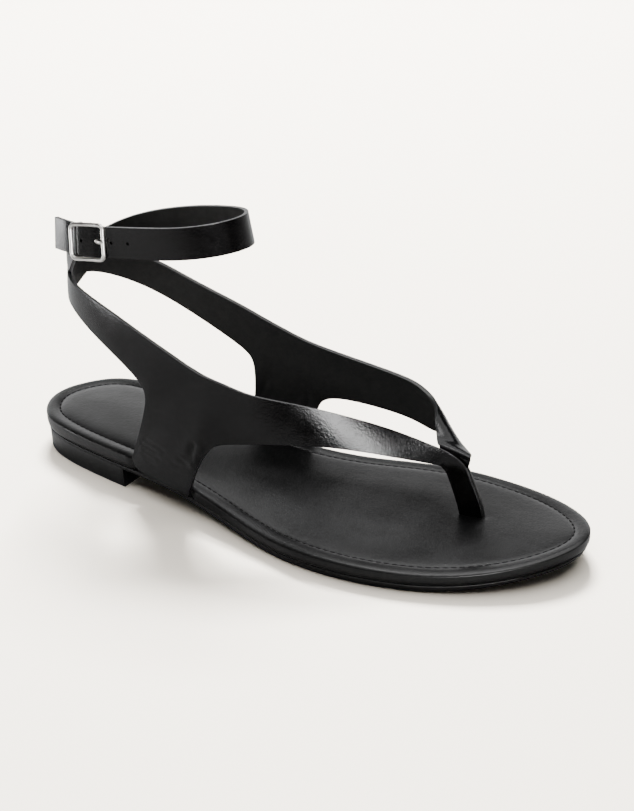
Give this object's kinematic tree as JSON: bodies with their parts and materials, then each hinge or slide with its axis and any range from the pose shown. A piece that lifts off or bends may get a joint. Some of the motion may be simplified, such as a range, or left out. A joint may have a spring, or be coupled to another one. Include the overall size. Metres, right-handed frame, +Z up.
{
  "type": "toe post sandal",
  "caption": "Flat black leather toe post sandal for the right foot, with side legs, straps crossed behind the heel and a buckled ankle strap.",
  "frame": {"origin": "bottom centre of the bounding box, on the floor", "axes": "+X towards the toe, +Y towards the inner (big toe) side, +Z up"},
  "size_m": [0.2482, 0.087, 0.1151],
  "materials": {
    "outsole": "matt black, fine textured",
    "heel": "satin black edge",
    "footbed": "matt black leather, padded, rolled rim",
    "upper": "semi-gloss black grain leather",
    "buckle": "polished nickel"
  },
  "bodies": {
    "root": {"outsole": "outsole", "heel": "heel", "footbed": "footbed", "upper": "upper", "buckle_frame": "buckle", "buckle_prong": "buckle"}
  },
  "joints": []
}
